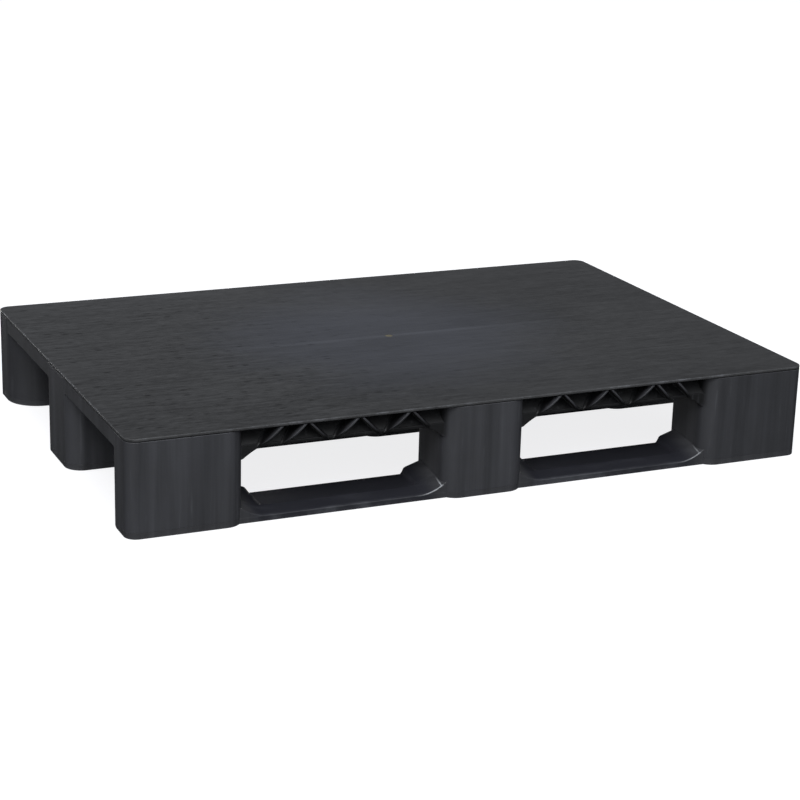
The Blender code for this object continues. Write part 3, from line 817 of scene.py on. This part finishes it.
class Shader:
    """Builds one node material."""

    def __init__(self, name):
        self.material = bpy.data.materials.new(name)
        self.material.use_nodes = True
        self.tree = self.material.node_tree
        self.surface = self.tree.nodes["Principled BSDF"]
        self.place = self.node("ShaderNodeTexCoord").outputs["Object"]

    def node(self, kind, inputs=None, **settings):
        made = self.tree.nodes.new(kind)
        for key, value in settings.items():
            setattr(made, key, value)
        for key, value in (inputs or {}).items():
            self.feed(made.inputs[key], value)
        return made

    def feed(self, socket, value):
        if isinstance(value, bpy.types.NodeSocket):
            self.tree.links.new(value, socket)
        else:
            socket.default_value = value

    def math(self, operation, first, second=0.0, clamp=False):
        inputs = {0: first, 1: second}
        return self.node("ShaderNodeMath", inputs, operation=operation, use_clamp=clamp).outputs[0]

    def plus(self, total, *others):
        for other in others:
            total = self.math("ADD", total, other)
        return total

    def times(self, product, *others):
        for other in others:
            product = self.math("MULTIPLY", product, other)
        return product

    def minus(self, first, second):
        return self.math("SUBTRACT", first, second)

    def amount(self, value):
        return self.math("ABSOLUTE", value)

    def weighted(self, start, *pairs):
        """start, plus each value times its weight."""
        return self.plus(start, *[self.times(value, weight) for value, weight in pairs])

    def hypotenuse(self, first, second):
        return self.math("SQRT", self.plus(self.times(first, first), self.times(second, second)))

    def stretched(self, scale, place=None):
        inputs = {0: place or self.place, 1: scale}
        return self.node("ShaderNodeVectorMath", inputs, operation="MULTIPLY").outputs[0]

    def noise(self, scale, detail=3.0, roughness=0.5, place=None, distortion=0.0):
        """Smooth noise about NOISE_MIDDLE; scale is how fine it is along X, Y and Z."""
        inputs = {"Vector": self.stretched(scale, place), "Scale": 1.0}
        inputs.update({"Detail": detail, "Roughness": roughness, "Distortion": distortion})
        return self.node("ShaderNodeTexNoise", inputs).outputs["Fac"]

    def spots(self, scale):
        """Distance to the nearest of many scattered points, and each point's own random colour."""
        made = self.node("ShaderNodeTexVoronoi", {"Vector": self.stretched(scale), "Scale": 1.0})
        return made.outputs["Distance"], made.outputs["Color"]

    def span(self, value, low, high, to_low=0.0, to_high=1.0, smooth=True):
        """Goes from to_low to to_high while value goes from low to high, and stays there outside."""
        kind = "SMOOTHSTEP" if smooth else "LINEAR"
        inputs = {"Value": value, "From Min": low, "From Max": high, "To Min": to_low, "To Max": to_high}
        return self.node("ShaderNodeMapRange", inputs, interpolation_type=kind).outputs["Result"]

    def axes(self, place=None):
        return list(self.node("ShaderNodeSeparateXYZ", {0: place or self.place}).outputs)

    def join(self, x, y, z):
        return self.node("ShaderNodeCombineXYZ", {0: x, 1: y, 2: z}).outputs[0]

    def blend(self, factor, first, second):
        inputs = {"Factor": factor, "A": first, "B": second}
        return self.node("ShaderNodeMix", inputs, data_type="RGBA").outputs["Result"]

    def scaled(self, colour, amount):
        inputs = {0: colour if isinstance(colour, bpy.types.NodeSocket) else colour[:3], "Scale": amount}
        return self.node("ShaderNodeVectorMath", inputs, operation="SCALE").outputs[0]

    def bump(self, height, distance, normal=None):
        inputs = {"Height": height, "Distance": distance, "Strength": 1.0}
        if normal is not None:
            inputs["Normal"] = normal
        return self.node("ShaderNodeBump", inputs).outputs["Normal"]

    def grain(self, fineness):
        """A fine, even grain all over."""
        return self.bump(self.noise((fineness, fineness, fineness), 2), GRAIN_DEPTH)

    def finish(self, colour, roughness, normal=None, metallic=0.0, specular=0.5):
        self.feed(self.surface.inputs["Base Color"], colour)
        self.feed(self.surface.inputs["Roughness"], roughness)
        self.surface.inputs["Metallic"].default_value = metallic
        self.surface.inputs["Specular IOR Level"].default_value = specular
        if normal is not None:
            self.feed(self.surface.inputs["Normal"], normal)
        return self.material


# Tones, as linear colours
DECK_TONE = (0.0480, 0.0482, 0.0495, 1)
HALO_TONE = (0.0560, 0.0580, 0.0660, 1)
FRAME_TONE = (0.0450, 0.0455, 0.0495, 1)
FRAME_PALE_TONE = (0.0480, 0.0492, 0.0560, 1)
RUNNER_TONE = (0.0180, 0.0185, 0.0240, 1)
SCUFF_TONE = (0.16, 0.165, 0.18, 1)
WORN_AND_HIGHLIGHT_TONE = (0.42, 0.43, 0.45, 1)
GATE_TONE = (0.20, 0.17, 0.09, 1)
PLUG_TONE = (0.030, 0.030, 0.032, 1)
ZINC_TONE = (0.50, 0.51, 0.52, 1)
SCREW_TONE = (0.42, 0.42, 0.41, 1)

# Noises: how fine along X, Y and Z, how many layers, how rough
NOISE_MIDDLE = 0.5
DECK_STREAKS = ((15, 130, 15), 5, 0.68)
DECK_MOTTLE = ((50, 120, 50), 4, 0.75)
DECK_CLOUDS = ((4, 7, 4), 4, 0.6)
DECK_SCRATCHES = ((3, 420, 3), 1, 0.4)
DECK_SCUFFS = ((26, 26, 26), 5, 0.75)
DECK_SPOTS = (34, 80, 1)
BROAD_STREAKS = ((55, 55, 2.2), 3, 0.55)
NARROW_STREAKS = ((300, 300, 4), 3, 0.6)
FRAME_CLOUDS = ((14, 14, 14), 4, 0.6)
FRAME_SPECKS = ((260, 260, 30), 4, 0.7)
FRAME_RUNS = ((150, 150, 9), 3, 0.6)
RUNNER_CLOUDS = ((12, 40, 12), 5, 0.65)
RUNNER_LINES = ((9, 260, 260), 3, 0.6)
RIDGE_WEAR_AND_HIGHLIGHT_PATCHES = ((120, 120, 120), 4, 0.7)

# Reliefs, as metres of height
GRAIN_DEPTH = 0.00002
DECK_RELIEF = 0.00016
FRAME_RELIEF = 0.00012
RUNNER_RELIEF = 0.00020
PLUG_RELIEF = 0.00003

# The deck's halo, from the gate outwards, and the lines and spots in it
HALO_REACH = (0.40, 0.12)
HALO_UNEVENNESS = 0.30
WELD_WIDTH = (0.010, 0.002)
WELD_REACH = (0.42, 0.10)
SPOT_SIZE = (0.34, 0.10)
SPOT_SHARE = (0.55, 0.70)  # of all scattered points, those with a random value above this become spots
GATE_FADE = (1.1, 0.6)  # the gate mark's colour fades over these shares of its radius
GATE_STRENGTH = 0.55
RIM = (0.0026, 0.0008)
RIM_DEPTH = (0.004, 0.001)

# Painted shade in the pockets between the truss ribs
POCKET_START = -0.009  # where they start, round the corner of the leg beside them
POCKET_FADE = 0.009
POCKET_DEPTHS = (0.003, 0.013)
POCKET_HEIGHTS = (0.095, 0.110)
POCKET_DARKNESS = 0.86

# The wear and painted highlight on an outer runner's front ridge and on the crest where it climbs to a leg
LINE_WIDTH = (0.0018, 0.0007)
LINE_START = (-0.004, 0.002)
LINE_FADE = (0.050, 0.004, 0.03, 1.0)
CREST_PLACE = 0.0015
CREST_WIDTH = (0.0014, 0.0005)
CREST_FADE = (-0.026, -0.006, 0.0, 0.7)
CREST_HEIGHT = (0.018, 0.021)
FRONT_BEVEL = (0.016, 0.012)  # how far in from the side the rubbed front bevel starts to show
RIGHT_WEAR_AND_HIGHLIGHT = 0.6


def sink_spots(s, x):
    """Small dark spots, most of them in the deck's left part."""
    distance, colour = s.spots(DECK_SPOTS)
    chosen = s.span(s.axes(colour)[0], *SPOT_SHARE)
    return s.times(s.span(distance, *SPOT_SIZE), chosen, s.span(x, 0.10, -0.35, 0.25, 1.0))


def rim_scuffs(s, x, y, z):
    """Pale scuffs in patches along the deck's upper edge."""
    outer, inner = RIM
    at_end = s.span(s.amount(x), HALF_LENGTH - outer, HALF_LENGTH - inner)
    at_side = s.span(s.amount(y), HALF_WIDTH - outer, HALF_WIDTH - inner)
    patches = s.span(s.noise(*DECK_SCUFFS), 0.46, 0.72, 0.05, 0.60)
    below, above = RIM_DEPTH
    return s.times(s.math("MAXIMUM", at_end, at_side), patches, s.span(z, HEIGHT - below, HEIGHT - above))


def deck_plastic():
    """Smooth black deck: flow streaks along the length, an uneven halo about the gate, spots and scuffs."""
    s = Shader("deck_plastic_looks")
    x, y, z = s.axes()
    streaks = s.noise(*DECK_STREAKS)
    clouds = s.noise(*DECK_CLOUDS)
    radius = s.hypotenuse(x, y)
    halo = s.span(s.weighted(radius, (s.minus(clouds, NOISE_MIDDLE), HALO_UNEVENNESS)), *HALO_REACH)
    rough = s.times(s.minus(1.0, halo), s.span(x, 0.05, -0.25, 0.60, 1.0))
    streaky = s.times(s.minus(streaks, NOISE_MIDDLE), s.weighted(0.55, (rough, 0.75)))
    mottled = s.times(s.minus(s.noise(*DECK_MOTTLE), NOISE_MIDDLE), s.weighted(0.10, (rough, 1.25)))
    spots = sink_spots(s, x)
    weld = s.times(s.span(s.amount(y), *WELD_WIDTH), s.span(radius, *WELD_REACH))
    beyond_weld = s.times(s.span(y, -0.001, 0.001), s.span(x, 0.0, 0.20))
    scratches = s.span(s.noise(*DECK_SCRATCHES, distortion=0.6), 0.66, 0.76)
    paler_back = s.span(y, -HALF_WIDTH, HALF_WIDTH, -0.06, 0.24, smooth=False)
    tone = s.weighted(
        s.plus(0.68, streaky, mottled, paler_back),
        (clouds, 0.55), (halo, 0.06), (spots, -0.45), (weld, 0.22), (beyond_weld, -0.09), (scratches, 0.22),
    )
    base = s.scaled(s.blend(halo, DECK_TONE, HALO_TONE), tone)
    outer, inner = GATE_FADE
    gate = s.times(s.span(radius, GATE_RADIUS * outer, GATE_RADIUS * inner), GATE_STRENGTH)
    base = s.blend(gate, base, GATE_TONE)
    base = s.blend(rim_scuffs(s, x, y, z), base, SCUFF_TONE)
    roughness = s.weighted(0.42, (streaks, 0.16))
    relief = s.weighted(0.0, (streaks, 0.5), (spots, -0.8))
    return s.finish(base, roughness, s.bump(relief, DECK_RELIEF, s.grain(1500)), specular=0.28)


def leg_streaks(s, x, y, z):
    """Broad and narrow upright flow streaks that run round the legs' corners."""
    around = s.plus(x, y)
    place = s.join(around, s.times(around, 0.3), z)
    return s.noise(*BROAD_STREAKS, place), s.noise(*NARROW_STREAKS, place)


def painted_pocket_shade(s, x, y, z):
    """Painted shade: how dark the deep pockets between the truss ribs are made, less so towards the ribs'
    tips.
    """
    along = s.amount(x)
    from_middle = s.minus(along, HALF_MIDDLE + POCKET_START)
    from_end = s.minus(OPENING_END - POCKET_START, along)
    inside = s.span(s.math("MINIMUM", from_middle, from_end), 0.0, POCKET_FADE)
    deep = s.span(s.minus(HALF_WIDTH, s.amount(y)), *POCKET_DEPTHS)
    return s.times(inside, deep, s.span(z, *POCKET_HEIGHTS), POCKET_DARKNESS)


def frame_plastic():
    """Black moulded frame with soft upright flow streaks and faint rubs on its legs, and painted shade
    towards the back, towards the right end and in the pockets between the truss ribs.
    """
    s = Shader("frame_plastic_looks")
    x, y, z = s.axes()
    broad, narrow = leg_streaks(s, x, y, z)
    clouds = s.noise(*FRAME_CLOUDS)
    tone = s.weighted(0.16, (broad, 1.15), (narrow, 0.32), (clouds, 0.22))
    # Painted shade: the frame is made darker towards the back and towards the right end.
    painted_shade_back = s.span(y, -0.10, 0.40, 1.0, 0.74)
    painted_shade_right = s.span(x, 0.30, 0.48, 1.0, 0.80)
    # Painted shade in the pockets between the truss ribs.
    tone = s.times(tone, s.minus(1.0, painted_pocket_shade(s, x, y, z)), painted_shade_back, painted_shade_right)
    base = s.scaled(s.blend(clouds, FRAME_TONE, FRAME_PALE_TONE), tone)
    specks = s.times(s.span(s.noise(*FRAME_SPECKS), 0.66, 0.80), 0.10)
    runs = s.times(s.span(s.noise(*FRAME_RUNS), 0.60, 0.74), 0.14)
    base = s.blend(s.math("MAXIMUM", specks, runs), base, SCUFF_TONE)
    roughness = s.weighted(0.42, (broad, 0.10))
    return s.finish(base, roughness, s.bump(broad, FRAME_RELIEF, s.grain(1300)))


def ridge_wear_and_highlight(s, end):
    """How much wear and painted highlight an outer runner's front ridge gets, most where it climbs to the
    leg that starts at end.
    """
    x, y, z = s.axes()
    distance = s.minus(end, x)
    climb = s.math("DIVIDE", s.minus(RAMP, distance), RAMP, clamp=True)
    above = s.minus(z, s.weighted(RUNNER_EDGE, (s.times(climb, climb), RAMP_RISE)))
    beyond = s.minus(s.amount(y), HALF_WIDTH - RUNNER_INSET)
    line = s.span(s.hypotenuse(above, beyond), *LINE_WIDTH)
    line = s.times(line, s.span(distance, *LINE_START), s.span(distance, *LINE_FADE))
    crest = s.times(
        s.span(s.amount(s.minus(distance, CREST_PLACE)), *CREST_WIDTH),
        s.span(beyond, *CREST_FADE),
        s.span(z, *CREST_HEIGHT),
    )
    return s.math("MAXIMUM", line, crest)


def leg_pad_tone(s, z, broad, narrow):
    """The legs' streaks carried on over the pads' sides, and left out on their flat undersides."""
    side = s.span(z, 0.0004, 0.0030)
    broad_run = s.times(s.minus(broad, NOISE_MIDDLE), side)
    narrow_run = s.times(s.minus(narrow, NOISE_MIDDLE), side)
    return s.weighted(1.005, (broad_run, 1.15), (narrow_run, 0.32))


def runner_plastic():
    """Black runner plastic, rubbed by forks and floors, with its ridges pale from wear and a painted
    highlight.
    """
    s = Shader("runner_plastic_looks")
    x, y, z = s.axes()
    broad, narrow = leg_streaks(s, x, y, z)
    clouds = s.noise(*RUNNER_CLOUDS)
    board_tone = s.weighted(0.70, (clouds, 0.38), (s.noise(*RUNNER_LINES), 0.18))
    pad_tone = leg_pad_tone(s, z, broad, narrow)
    half_opening = (OPENING_END - HALF_MIDDLE) / 2
    aside = s.amount(s.minus(s.amount(x), HALF_MIDDLE + half_opening))
    board = s.span(aside, half_opening, half_opening - BOARD_FADE)
    base = s.blend(board, s.scaled(FRAME_TONE, pad_tone), s.scaled(RUNNER_TONE, board_tone))
    inner, outer = FRONT_BEVEL
    front = s.times(board, s.span(s.amount(y), HALF_WIDTH - inner, HALF_WIDTH - outer))
    base = s.blend(s.times(front, s.span(clouds, 0.38, 0.62, 0.03, 0.26)), base, SCUFF_TONE)
    base = s.blend(s.times(s.span(clouds, 0.50, 0.74), 0.05), base, SCUFF_TONE)
    foot = s.times(s.span(z, 0.006, 0.001), s.span(broad, 0.40, 0.70, 0.02, 0.12))
    base = s.blend(foot, base, SCUFF_TONE)
    # A pale line along the outer runners' front ridges and crests, partly wear and partly painted highlight,
    # weaker at the right end.
    worn_and_highlit = s.math("MAXIMUM", ridge_wear_and_highlight(s, -HALF_MIDDLE), s.times(ridge_wear_and_highlight(s, OPENING_END), RIGHT_WEAR_AND_HIGHLIGHT))
    worn_and_highlit = s.times(worn_and_highlit, s.span(s.noise(*RIDGE_WEAR_AND_HIGHLIGHT_PATCHES), 0.30, 0.62, 0.35, 1.0))
    base = s.blend(worn_and_highlit, base, WORN_AND_HIGHLIGHT_TONE)
    roughness = s.weighted(0.40, (clouds, 0.16))
    return s.finish(base, roughness, s.bump(clouds, RUNNER_RELIEF, s.grain(1300)), specular=0.36)


def plug_plastic():
    """Plain moulded plugs with a faint mottle."""
    s = Shader("plug_plastic_looks")
    mottle = s.noise((400, 400, 400), 3)
    base = s.scaled(PLUG_TONE, s.weighted(0.85, (mottle, 0.3)))
    return s.finish(base, s.weighted(0.48, (mottle, 0.14)), s.bump(mottle, PLUG_RELIEF))


def galvanised_steel():
    """Zinc-coated steel with its patchwork of crystals and drawn lines."""
    s = Shader("galvanised_steel_looks")
    _, colour = s.spots((60, 120, 120))
    crystal = s.axes(colour)[0]
    drawn = s.noise((8, 900, 900), 2)
    base = s.scaled(ZINC_TONE, s.weighted(0.82, (crystal, 0.22), (drawn, 0.10)))
    return s.finish(base, s.weighted(0.28, (crystal, 0.20)), s.bump(drawn, GRAIN_DEPTH), metallic=1.0)


def screw_steel():
    """Zinc-plated steel, brushed and a little grimy."""
    s = Shader("screw_steel_looks")
    brushed = s.noise((2500, 300, 300), 3)
    grime = s.noise((180, 180, 180), 4, 0.7)
    base = s.scaled(SCREW_TONE, s.weighted(0.60, (grime, 0.6)))
    return s.finish(base, s.weighted(0.26, (grime, 0.24)), s.bump(brushed, GRAIN_DEPTH), metallic=1.0)


# ---- stage


def direction(azimuth, elevation=0.0):
    """The way from the pallet towards an azimuth and an elevation in degrees."""
    turn = math.radians(azimuth)
    lift = math.radians(elevation)
    return Vector((math.sin(turn) * math.cos(lift), -math.cos(turn) * math.cos(lift), math.sin(lift)))


def floor_material():
    """Pale where the camera sees it, and dim for the light that it throws back up under the pallet."""
    s = Shader("pale_floor")
    glow = s.node("ShaderNodeEmission", {"Color": FLOOR_GLOW}).outputs[0]
    matte = s.node("ShaderNodeBsdfDiffuse", {"Color": FLOOR_MATTE}).outputs[0]
    pale = s.node("ShaderNodeAddShader", {0: glow, 1: matte}).outputs[0]
    dim = s.node("ShaderNodeBsdfDiffuse", {"Color": FLOOR_DIM}).outputs[0]
    seen = s.node("ShaderNodeLightPath").outputs["Is Camera Ray"]
    shown = s.node("ShaderNodeMixShader", {0: seen, 1: dim, 2: pale}).outputs[0]
    s.feed(s.tree.nodes["Material Output"].inputs["Surface"], shown)
    return s.material


def make_floor():
    """A plain pale floor, just under the runners."""
    reach = FLOOR_REACH
    corners = [(-reach, -reach, 0), (reach, -reach, 0), (reach, reach, 0), (-reach, reach, 0)]
    mesh = bpy.data.meshes.new("floor")
    mesh.from_pydata(corners, [], [(0, 1, 2, 3)])
    mesh.materials.append(floor_material())
    floor = new_object("floor", mesh)
    floor.location.z = -FLOOR_DROP


def make_world():
    """A soft studio dome, bright in front of the pallet and dim behind it."""
    world = bpy.data.worlds.new("studio")
    world.use_nodes = True
    nodes = world.node_tree.nodes
    links = world.node_tree.links
    facing = nodes.new("ShaderNodeVectorMath")
    facing.operation = "DOT_PRODUCT"
    links.new(nodes.new("ShaderNodeTexCoord").outputs["Generated"], facing.inputs[0])
    facing.inputs[1].default_value = direction(DOME_AZIMUTH, DOME_ELEVATION)
    strength = nodes.new("ShaderNodeMapRange")
    links.new(facing.outputs["Value"], strength.inputs["Value"])
    strength.inputs["From Min"].default_value = 0.0
    strength.inputs["From Max"].default_value = DOME_FULL
    strength.inputs["To Min"].default_value = DOME_BEHIND
    strength.inputs["To Max"].default_value = DOME_FRONT
    background = nodes["Background"]
    background.inputs["Color"].default_value = DOME_TINT
    links.new(strength.outputs["Result"], background.inputs["Strength"])
    bpy.context.scene.world = world


def area_light(name, away, distance, power, colour=WHITE):
    """An area light that faces the pallet from a distance, the way away points."""
    data = bpy.data.lights.new(name, "AREA")
    data.energy = power
    data.color = colour
    light = new_object(name, data)
    light.location = away * distance
    light.rotation_mode = "QUATERNION"
    light.rotation_quaternion = (-away).to_track_quat("-Z", "Y")
    return light


def softbox(name, azimuth, elevation, distance, size, power, colour=WHITE):
    """A square light that looks at the pallet's middle."""
    light = area_light(name, direction(azimuth, elevation), distance, power, colour)
    light.data.shape = "SQUARE"
    light.data.size = size


def low_strip(name, azimuth, distance, length, height, power):
    """A long light on the floor, lower than the deck, so it lights the legs and never the deck."""
    light = area_light(name, direction(azimuth), distance, power)
    light.location.z = height / 2
    light.data.shape = "RECTANGLE"
    light.data.size = length
    light.data.size_y = height
    light.visible_camera = False


def make_lights():
    softbox("key", azimuth=-34, elevation=46, distance=8.0, size=3.6, power=260)
    low_strip("behind", azimuth=172, distance=2.6, length=4.0, height=0.14, power=34)
    softbox("top", azimuth=-10, elevation=82, distance=7.0, size=4.0, power=110, colour=COOL)


def make_camera():
    """The view from the front left, a little above, with a slight roll."""
    back = direction(CAMERA_AZIMUTH, CAMERA_ELEVATION)
    right = direction(CAMERA_AZIMUTH + 90)
    up = back.cross(right)
    place = back * CAMERA_DISTANCE + right * CAMERA_ASIDE + up * CAMERA_RAISED
    cosine = math.cos(CAMERA_ROLL)
    sine = math.sin(CAMERA_ROLL)
    data = bpy.data.cameras.new("camera")
    data.lens = CAMERA_LENS
    data.sensor_width = SENSOR_WIDTH
    data.clip_end = VIEW_END
    camera = new_object("camera", data)
    turn = Matrix((cosine * right + sine * up, cosine * up - sine * right, back)).transposed()
    camera.matrix_world = Matrix.Translation(place) @ turn.to_4x4()
    bpy.context.scene.camera = camera


def carry_over(material, prefix):
    """Gives the CAD nodes that stay in view their finished material."""
    for name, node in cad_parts.items():
        if name.startswith(prefix):
            node.data.materials.clear()
            node.data.materials.append(material)


make_cover(deck_plastic())
make_frame(frame_plastic())
runner_material = runner_plastic()
for row in ("front", "middle", "rear"):
    make_runner(row, runner_material)
make_screws(screw_steel())
carry_over(galvanised_steel(), "reinforcement_tube")
carry_over(plug_plastic(), "tube_plug")
make_world()
make_floor()
make_lights()
make_camera()
bpy.context.scene.view_settings.view_transform = "Standard"
